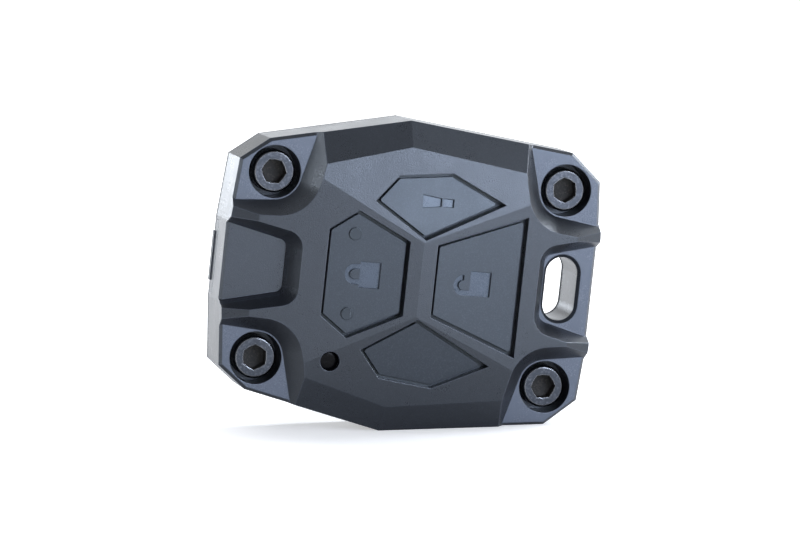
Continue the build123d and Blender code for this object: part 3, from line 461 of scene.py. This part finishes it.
def button_plastic(name, square, face):
    """The plastic of one cap, whose face lies at a height along the direction square to it."""

    def marks(tree, colour, rough):
        group = node(tree, "ShaderNodeGroup", node_tree=relief_group)
        for label, value in (("X", square.x), ("Y", square.y), ("Z", square.z), ("Face", face)):
            group.inputs[label].default_value = value
        height = group.outputs[0]
        # The walls of the sunk marks and the raised dots are painted dark, as painted shade
        for wall in (SUNK_WALL, RAISED_WALL):
            colour = blend(tree, ramp(tree, height, *wall), colour, ICON_WALL_SHADE)
        colour = blend(tree, maths(tree, "COMPARE", height, DOT_RISE * TENTHS, LEVEL), colour, DOT_TOP)
        floor = maths(tree, "COMPARE", height, -ICON_DEPTH * TENTHS, LEVEL)
        colour = blend(tree, floor, colour, ICON_FLOOR)
        return colour, maths(tree, "MULTIPLY_ADD", floor, FLOOR_ROUGHER, rough)

    return surface(
        name + "_plastic",
        plain=BUTTON_BLACK,
        flecked=BUTTON_FLECK,
        edge_wear_and_sheen=BUTTON_EDGE_HIGHLIGHT,
        roughness=0.33,
        grain_mm=0.16,
        depth_mm=0.018,
        edge_mm=0.12,
        relief=marks,
        Specular_Tint=BUTTON_TINT,
        Specular_IOR_Level=NYLON_GLOSS,
    )


def select_where(piece, kind, test):
    """In edit mode, selects the vertices or faces of a piece whose place passes a test."""
    bpy.ops.mesh.select_mode(type=kind)
    bpy.ops.mesh.select_all(action="DESELECT")
    bpy.ops.object.mode_set(mode="OBJECT")
    for part in piece.data.vertices if kind == "VERT" else piece.data.polygons:
        part.select = test(part.co if kind == "VERT" else part.center)
    bpy.ops.object.mode_set(mode="EDIT")


def open_copy(name, node_name):
    """A merged copy of a CAD node, the only thing selected, and open in edit mode."""
    piece = bpy.data.objects.new(name, frame["nodes"][node_name].data.copy())
    bpy.context.collection.objects.link(piece)
    bpy.ops.object.select_all(action="DESELECT")
    piece.select_set(True)
    bpy.context.view_layer.objects.active = piece
    bpy.ops.object.mode_set(mode="EDIT")
    bpy.ops.mesh.select_all(action="SELECT")
    bpy.ops.mesh.remove_doubles(threshold=MERGE)
    return piece


def button(name, towards, ridge_end, fall, marked=True):
    """Finishes a button whose face falls by some degrees towards a direction given along and across the fob.

    The face meets the ridge of the housing's front at its middle (0), upper end (1) or lower end (-1)."""
    level = along * towards[0] + across * towards[1]
    square = level * sin(radians(fall)) + outward * cos(radians(fall))
    ridge = back_centre + along * RIDGE[0] + across * RIDGE[1] * ridge_end + outward * RIDGE[2]
    face = square.dot(ridge) - FACE_RECESS
    dress(button_plastic(name, square, face), name + "_button")
    if not marked:
        return
    cap = open_copy(name + "_cap", name + "_button")
    for solid_height, height in ((SOLID_ICON_RISE, -ICON_DEPTH), (-SOLID_DOT_DEPTH, DOT_RISE)):
        select_where(cap, "VERT", lambda spot: abs(square.dot(spot) - face - solid_height) < HAIR)
        bpy.ops.transform.translate(value=square * (height - solid_height))
    bpy.ops.object.mode_set(mode="OBJECT")
    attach(cap, name + "_key")
    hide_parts(name + "_button")


button("lock", (-1, 0), 0, 2.9)
button("unlock", (1, 0), 0, 2.5)
button("panic", (0, 1), 1, 5.7)
button("spare", (0, -1), -1, 5.7, marked=False)

# Screws: number 8 socket head cap screws of steel, black oxide finish. A cold formed head with a knurled side
# and a broached hexagon socket, over a rolled thread. Each stands in its counterbore as it was turned home.
HEAD_RADIUS = 0.00343
HEAD_HEIGHT = 0.00417
HEAD_CHAMFER = 0.00035
HEAD_RIM = 0.0001
# Heights above the back face of the seat of the head and of the end of the shank
SEAT = 0.00553
SHANK_END = 0.00078
SOCKET_FLATS = 0.00357
SOCKET_DEPTH = 0.0020
SOCKET_LEAD_RADIUS = 0.00194
SOCKET_LEAD_SIDES = 48
DRILL_RADIUS = 0.95 * SOCKET_FLATS / 2
DRILL_DEPTH = 0.0006
DRILL_SIDES = 24
KNURL_RIDGES = 42
KNURL_DEPTH = 0.00009
KNURL_FOOT = 0.0004
KNURL_TOP = HEAD_HEIGHT - 0.0009
KNURL_RUN_OUT = 0.0001
SHANK_RADIUS = 0.00205
THREAD_DEPTH = 0.00030
THREAD_PITCH = 0.000794
THREAD_LAND = 0.15 * THREAD_PITCH
THREAD_FLANK = 0.35 * THREAD_PITCH
THREAD_STEPS = 32
THREAD_SPARE_TURNS = 3
THREAD_MERGE = 0.000002
OVERLAP = 0.00001
SMOOTH_BELOW = radians(25)
# Where the socket holds dust and is painted dark as painted shade: inside this radius, between these heights
DUST_AND_SHADE_RADIUS = 0.00190
DUST_AND_SHADE_FOOT = 0.001
DUST_AND_SHADE_TOP = HEAD_HEIGHT - 0.0004
# Name, place along and across the fob, and the turn in degrees at which the screw was left
SCREWS = [
    ("upper_left", -0.0245, 0.0150, 27),
    ("lower_left", -0.0245, -0.0150, 2),
    ("upper_right", 0.02385, 0.0161, 8),
    ("lower_right", 0.02385, -0.0161, 36),
]


def apply_modifier(piece, kind, **settings):
    """Adds a modifier to the active piece and applies it."""
    modifier = piece.modifiers.new(kind.lower(), kind)
    for name, value in settings.items():
        setattr(modifier, name, value)
    bpy.ops.object.modifier_apply(modifier=modifier.name)


def cut(piece, cutter):
    """Cuts one piece out of another and deletes it."""
    bpy.context.view_layer.objects.active = piece
    apply_modifier(piece, "BOOLEAN", object=cutter, operation="DIFFERENCE", solver="EXACT")
    bpy.data.objects.remove(cutter)


def bisect(height, facing, **settings):
    """In edit mode, cuts all of a mesh at a height, with a plane that faces up (1) or down (-1)."""
    bpy.ops.mesh.select_all(action="SELECT")
    bpy.ops.mesh.bisect(plane_co=(0, 0, height), plane_no=(0, 0, facing), threshold=MERGE, **settings)


def in_groove(spot):
    """True at every second column of vertices of the knurled band."""
    turn = Vector((spot.x, spot.y)).angle_signed(Vector((0, 1)), 0) % (2 * pi)
    in_band = KNURL_FOOT + KNURL_RUN_OUT / 2 < spot.z < KNURL_TOP - KNURL_RUN_OUT / 2
    return round(turn * KNURL_RIDGES / pi) % 2 == 1 and in_band


def on_top(spot):
    """True on the flat top of the head."""
    return spot.z > HEAD_HEIGHT - OVERLAP


# Head, with its axis up and its seat at the origin
bpy.ops.mesh.primitive_cylinder_add(
    vertices=2 * KNURL_RIDGES, radius=HEAD_RADIUS, depth=HEAD_HEIGHT, location=(0, 0, HEAD_HEIGHT / 2)
)
head = bpy.context.object
bpy.ops.object.transform_apply()
bpy.ops.object.mode_set(mode="EDIT")
for height in (KNURL_FOOT, KNURL_FOOT + KNURL_RUN_OUT, KNURL_TOP - KNURL_RUN_OUT, KNURL_TOP):
    bisect(height, 1)
select_where(head, "VERT", in_groove)
groove = 1 - KNURL_DEPTH / HEAD_RADIUS
bpy.ops.transform.resize(value=(groove, groove, 1), center_override=(0, 0, 0))
select_where(head, "FACE", on_top)
bpy.ops.mesh.inset(thickness=HEAD_CHAMFER)
select_where(head, "VERT", lambda spot: on_top(spot) and spot.xy.length > HEAD_RADIUS - HEAD_RIM)
bpy.ops.transform.translate(value=(0, 0, -HEAD_CHAMFER))
bpy.ops.object.mode_set(mode="OBJECT")

# Socket: a hexagon, the cone that leads the key in, and the point left by the drill
bpy.ops.mesh.primitive_cylinder_add(
    vertices=6, radius=SOCKET_FLATS / sqrt(3), depth=2 * SOCKET_DEPTH, location=(0, 0, HEAD_HEIGHT)
)
cut(head, bpy.context.object)
bpy.ops.mesh.primitive_cone_add(
    vertices=SOCKET_LEAD_SIDES,
    radius1=0,
    radius2=SOCKET_LEAD_RADIUS,
    depth=SOCKET_LEAD_RADIUS,
    location=(0, 0, HEAD_HEIGHT - SOCKET_LEAD_RADIUS / 2 + OVERLAP),
)
cut(head, bpy.context.object)
bpy.ops.mesh.primitive_cone_add(
    vertices=DRILL_SIDES,
    radius1=0,
    radius2=DRILL_RADIUS,
    depth=DRILL_DEPTH,
    location=(0, 0, HEAD_HEIGHT - SOCKET_DEPTH - DRILL_DEPTH / 2 + OVERLAP),
)
cut(head, bpy.context.object)

# Thread: a zigzag profile down the side of the shank, screwed round one turn and cut flat at both ends
bpy.ops.mesh.primitive_plane_add(size=THREAD_PITCH, location=(SHANK_RADIUS, 0, 0))
thread = bpy.context.object
bpy.ops.object.transform_apply()
bpy.ops.object.mode_set(mode="EDIT")
bpy.ops.mesh.select_all(action="SELECT")
bpy.ops.mesh.merge(type="CENTER")
turns = int((SEAT - SHANK_END) / THREAD_PITCH) + THREAD_SPARE_TURNS
one_turn = [
    (0, 0, -THREAD_LAND),
    (-THREAD_DEPTH, 0, -THREAD_FLANK),
    (0, 0, -THREAD_LAND),
    (THREAD_DEPTH, 0, -THREAD_FLANK),
]
for step in (one_turn * turns)[:-1]:
    bpy.ops.mesh.extrude_vertices_move(TRANSFORM_OT_translate={"value": step})
bpy.ops.object.mode_set(mode="OBJECT")
apply_modifier(
    thread,
    "SCREW",
    angle=2 * pi,
    screw_offset=THREAD_PITCH,
    steps=THREAD_STEPS,
    render_steps=THREAD_STEPS,
    use_merge_vertices=True,
)
bpy.ops.object.mode_set(mode="EDIT")
bpy.ops.mesh.select_all(action="SELECT")
bpy.ops.mesh.remove_doubles(threshold=THREAD_MERGE)
bisect(SHANK_END - SEAT, -1, use_fill=True, clear_outer=True)
bisect(-OVERLAP, 1, use_fill=True, clear_outer=True)
bpy.ops.mesh.select_all(action="SELECT")
bpy.ops.mesh.normals_make_consistent(inside=False)
bpy.ops.object.mode_set(mode="OBJECT")
bpy.ops.object.select_all(action="DESELECT")
head.select_set(True)
thread.select_set(True)
bpy.context.view_layer.objects.active = head
bpy.ops.object.join()
screw_pattern = bpy.context.object
bpy.ops.object.shade_smooth_by_angle(angle=SMOOTH_BELOW)

# Its edges are painted paler than its face, as a painted highlight on the rounded chamfer of the head
screw_steel = surface(
    "screw_steel",
    plain=(0.042, 0.047, 0.056),
    flecked=(0.078, 0.084, 0.098),
    edge_wear_and_sheen=(0.260, 0.270, 0.290),
    roughness=0.32,
    grain_mm=0.30,
    depth_mm=0.012,
    edge_mm=0.28,
    Metallic=1.0,
)
# Dust in the socket, painted near black, which also stands for the shade deep in it
socket_dust_and_shade = surface(
    "socket_dust_and_shade",
    plain=(0.006, 0.0058, 0.0056),
    flecked=(0.030, 0.026, 0.023),
    edge_wear_and_sheen=(0.014, 0.013, 0.012),
    roughness=0.70,
    grain_mm=0.25,
    depth_mm=0.020,
    edge_mm=0.05,
)
screw_pattern.data.materials.append(screw_steel)
screw_pattern.data.materials.append(socket_dust_and_shade)
for face in screw_pattern.data.polygons:
    dusty_and_shaded = face.center.xy.length < DUST_AND_SHADE_RADIUS and DUST_AND_SHADE_FOOT < face.center.z < DUST_AND_SHADE_TOP
    face.material_index = 1 if dusty_and_shaded else 0
for name, place_along, place_across, turn in SCREWS:
    screw = screw_pattern.copy()
    screw.data = screw_pattern.data.copy()
    screw.name = "cap_screw_" + name
    bpy.context.collection.objects.link(screw)
    seat = back_centre + along * place_along + across * place_across + outward * SEAT
    axes = Matrix((along, across, outward)).transposed().to_4x4()
    screw.data.transform(Matrix.Translation(seat) @ axes @ Matrix.Rotation(radians(turn), 4, "Z"))
    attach(screw, "fob")
    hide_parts("cap_screws")
bpy.data.objects.remove(screw_pattern)

# Threaded inserts: four sleeves of turned brass. They are pressed hot into the bosses of the cover, and the
# screws bite in them.
insert_brass = surface(
    "insert_brass",
    plain=(0.70, 0.50, 0.22),
    flecked=(0.78, 0.60, 0.32),
    edge_wear_and_sheen=(0.82, 0.66, 0.40),
    roughness=0.28,
    grain_mm=0.10,
    depth_mm=0.002,
    edge_mm=0.05,
    Metallic=1.0,
)
dress(insert_brass, "threaded_inserts")

# Seal: a closed ring of black rubber, moulded in one piece. It lies in a rebate between the two shells, which
# press it together when the screws are turned home.
seal_rubber = surface(
    "seal_rubber",
    plain=(0.016, 0.016, 0.017),
    flecked=(0.028, 0.028, 0.030),
    edge_wear_and_sheen=(0.022, 0.022, 0.023),
    roughness=0.62,
    grain_mm=0.20,
    depth_mm=0.006,
    edge_mm=0.08,
)
dress(seal_rubber, "cover_seal")

# Keypad: a mat of dark silicone whose rim is held between board and housing, and a base of the same silicone
# that fills each button and reaches down to its switch. All are moulded together, and the base carries the
# cap.
keypad_silicone = surface(
    "keypad_silicone",
    plain=(0.085, 0.087, 0.095),
    flecked=(0.11, 0.112, 0.12),
    edge_wear_and_sheen=(0.10, 0.102, 0.11),
    roughness=0.58,
    grain_mm=0.25,
    depth_mm=0.006,
    edge_mm=0.15,
    Sheen_Weight=0.15,
)
dress(keypad_silicone, "keypad_mat", "lock_key_base", "unlock_key_base", "panic_key_base", "spare_key_base")

# Circuit board: glass cloth in epoxy under a green solder mask, routed to its outline. It rests on the ribs
# of the cover, and everything electric is soldered to it.
board_mask = surface(
    "board_mask",
    plain=(0.016, 0.11, 0.045),
    flecked=(0.020, 0.125, 0.052),
    edge_wear_and_sheen=(0.30, 0.32, 0.20),
    roughness=0.26,
    grain_mm=0.5,
    depth_mm=0.002,
    edge_mm=0.06,
    Coat_Weight=0.3,
)
dress(board_mask, "circuit_board")

# Switches: four tactile switches, soldered to the board under the buttons. Their bodies are moulded in black
# plastic with glass fibre, and their plungers, which slide in them, in a paler one.
switch_plastic = surface(
    "switch_plastic",
    plain=(0.028, 0.028, 0.030),
    flecked=(0.05, 0.05, 0.052),
    edge_wear_and_sheen=(0.040, 0.040, 0.042),
    roughness=0.46,
    grain_mm=0.15,
    depth_mm=0.005,
    edge_mm=0.08,
)
dress(switch_plastic, "switch_bodies")
plunger_plastic = surface(
    "plunger_plastic",
    plain=(0.055, 0.055, 0.058),
    flecked=(0.07, 0.07, 0.073),
    edge_wear_and_sheen=(0.075, 0.075, 0.078),
    roughness=0.38,
    grain_mm=0.15,
    depth_mm=0.003,
    edge_mm=0.08,
)
dress(plunger_plastic, "lock_plunger", "unlock_plunger", "panic_plunger", "spare_plunger")

# Indicator light: a small lamp, cast over with clear resin and soldered to the front of the board, behind the
# light pipe.
led_resin = surface(
    "led_resin",
    plain=(0.80, 0.78, 0.70),
    flecked=(0.84, 0.82, 0.74),
    edge_wear_and_sheen=(0.86, 0.84, 0.78),
    roughness=0.22,
    grain_mm=0.2,
    depth_mm=0.001,
    edge_mm=0.08,
    Coat_Weight=0.6,
)
dress(led_resin, "indicator_led")

# Light pipe: a rod of smoked clear plastic that is pressed into the window and brings the light out. Its
# outer end is polished to a shallow dome, which is raised on a copy of its solid.
LENS_RINGS = [(0.00012, 0.00008), (0.00025, 0.00005), (0.00035, 0.00002)]
LENS_SMOOTH_BELOW = radians(40)

pipe_smoke = surface(
    "pipe_smoke",
    plain=(0.002, 0.002, 0.003),
    flecked=(0.003, 0.003, 0.004),
    edge_wear_and_sheen=(0.005, 0.005, 0.006),
    roughness=0.12,
    grain_mm=0.5,
    depth_mm=0.040,
    edge_mm=0.10,
    Specular_IOR_Level=0.08,
)
dress(pipe_smoke, "light_pipe")
lens_front = min(vertex.co.y for vertex in frame["nodes"]["light_pipe"].data.vertices)
lens = open_copy("pipe_lens", "light_pipe")
select_where(lens, "FACE", lambda spot: spot.y < lens_front + HAIR)
for ring, rise in LENS_RINGS:
    bpy.ops.mesh.inset(thickness=ring, depth=rise)
bpy.ops.object.mode_set(mode="OBJECT")
bpy.ops.object.shade_smooth_by_angle(angle=LENS_SMOOTH_BELOW)
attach(lens, "fob")
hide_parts("light_pipe")

# Coin cell and its cradle: a steel can and cap, nickel plated and crimped over a gasket. Two arms of black
# plastic on the back of the board hold it.
cell_nickel = surface(
    "cell_nickel",
    plain=(0.70, 0.69, 0.66),
    flecked=(0.76, 0.75, 0.72),
    edge_wear_and_sheen=(0.80, 0.79, 0.77),
    roughness=0.30,
    grain_mm=0.15,
    depth_mm=0.002,
    edge_mm=0.15,
    Metallic=1.0,
)
dress(cell_nickel, "coin_cell")
dress(switch_plastic, "battery_cradle")

# Contacts: two tinned strips of phosphor bronze, stamped, bent and soldered to the board. One bears on the
# side of the cell and one on its face.
contact_tin = surface(
    "contact_tin",
    plain=(0.74, 0.71, 0.64),
    flecked=(0.80, 0.78, 0.72),
    edge_wear_and_sheen=(0.70, 0.55, 0.36),
    roughness=0.33,
    grain_mm=0.12,
    depth_mm=0.002,
    edge_mm=0.05,
    Metallic=1.0,
)
dress(contact_tin, "positive_contact", "negative_contact")

# Chips: the radio and the receiver, each a flat block of black epoxy moulded round its silicon. Both are
# soldered to the front of the board.
chip_black = surface(
    "chip_black",
    plain=(0.018, 0.018, 0.019),
    flecked=(0.032, 0.032, 0.034),
    edge_wear_and_sheen=(0.026, 0.026, 0.028),
    roughness=0.52,
    grain_mm=0.12,
    depth_mm=0.004,
    edge_mm=0.06,
)
dress(chip_black, "radio_chip", "receiver_chip")

# Crystal: a slice of quartz in a plated metal can with a soldered lid, which sets the pace of the radio. It
# is soldered to the front of the board.
crystal_can = surface(
    "crystal_can",
    plain=(0.74, 0.73, 0.71),
    flecked=(0.80, 0.79, 0.77),
    edge_wear_and_sheen=(0.84, 0.83, 0.82),
    roughness=0.24,
    grain_mm=0.3,
    depth_mm=0.001,
    edge_mm=0.12,
    Metallic=1.0,
)
dress(crystal_can, "crystal")

# Small parts: the resistors and capacitors round the chips, blocks of glazed ceramic that are soldered at
# their ends.
part_glaze = surface(
    "part_glaze",
    plain=(0.36, 0.27, 0.17),
    flecked=(0.44, 0.34, 0.23),
    edge_wear_and_sheen=(0.50, 0.42, 0.32),
    roughness=0.30,
    grain_mm=0.12,
    depth_mm=0.002,
    edge_mm=0.08,
)
dress(part_glaze, "passive_parts")

# Antenna: a bobbin of sintered ferrite with a flange at each end, wound with enamelled copper wire. It sits
# under the board.
ferrite_grey = surface(
    "ferrite_grey",
    plain=(0.045, 0.044, 0.045),
    flecked=(0.075, 0.073, 0.075),
    edge_wear_and_sheen=(0.06, 0.06, 0.06),
    roughness=0.55,
    grain_mm=0.18,
    depth_mm=0.006,
    edge_mm=0.10,
)
dress(ferrite_grey, "antenna_core")
copper_wire = surface(
    "copper_wire",
    plain=(0.42, 0.15, 0.05),
    flecked=(0.55, 0.22, 0.08),
    edge_wear_and_sheen=(0.60, 0.28, 0.12),
    roughness=0.30,
    grain_mm=0.12,
    depth_mm=0.010,
    edge_mm=0.06,
    Metallic=0.8,
)
dress(copper_wire, "antenna_winding")
